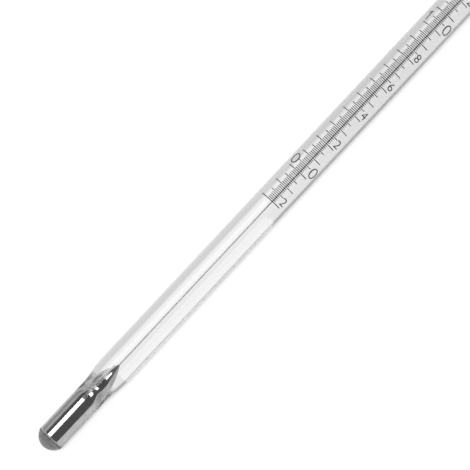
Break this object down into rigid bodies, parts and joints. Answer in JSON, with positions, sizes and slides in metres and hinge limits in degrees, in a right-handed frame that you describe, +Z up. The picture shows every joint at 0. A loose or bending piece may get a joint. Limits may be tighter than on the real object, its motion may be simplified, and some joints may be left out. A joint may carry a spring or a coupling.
{
  "type": "mercury glass thermometer",
  "caption": "Clear solid-stem laboratory thermometer: mercury bulb, contraction neck, capillary bore, scale lines fired on the stem, expansion chamber and hanging ring.",
  "frame": {"origin": "on the table under the middle of the thermometer's length, where its stem's lowest line would touch", "axes": "+X along the stem from the bulb to the hanging ring, +Z up through the scale, +Y to the side of the tens digits"},
  "size_m": [0.305, 0.009, 0.007],
  "materials": {
    "clear_glass": "clear, fire polished",
    "mercury": "liquid mirror",
    "scale_ink": "black enamel fired on the glass, satin"
  },
  "bodies": {
    "glass": {"bulb": "clear_glass", "stem": "clear_glass", "top_ring": "clear_glass", "reservoir_mercury": "mercury", "mercury_thread": "mercury", "degree_lines": "scale_ink", "half_degree_lines": "scale_ink", "tenth_degree_lines": "scale_ink"},
    "column": {"column_head": "mercury"}
  },
  "joints": [
    {"name": "column_rise", "type": "slide", "parent": "glass", "child": "column", "axis": [1, 0, 0], "range_m": [-0.08646, 0.12576], "deforming": ["mercury_thread"]}
  ]
}
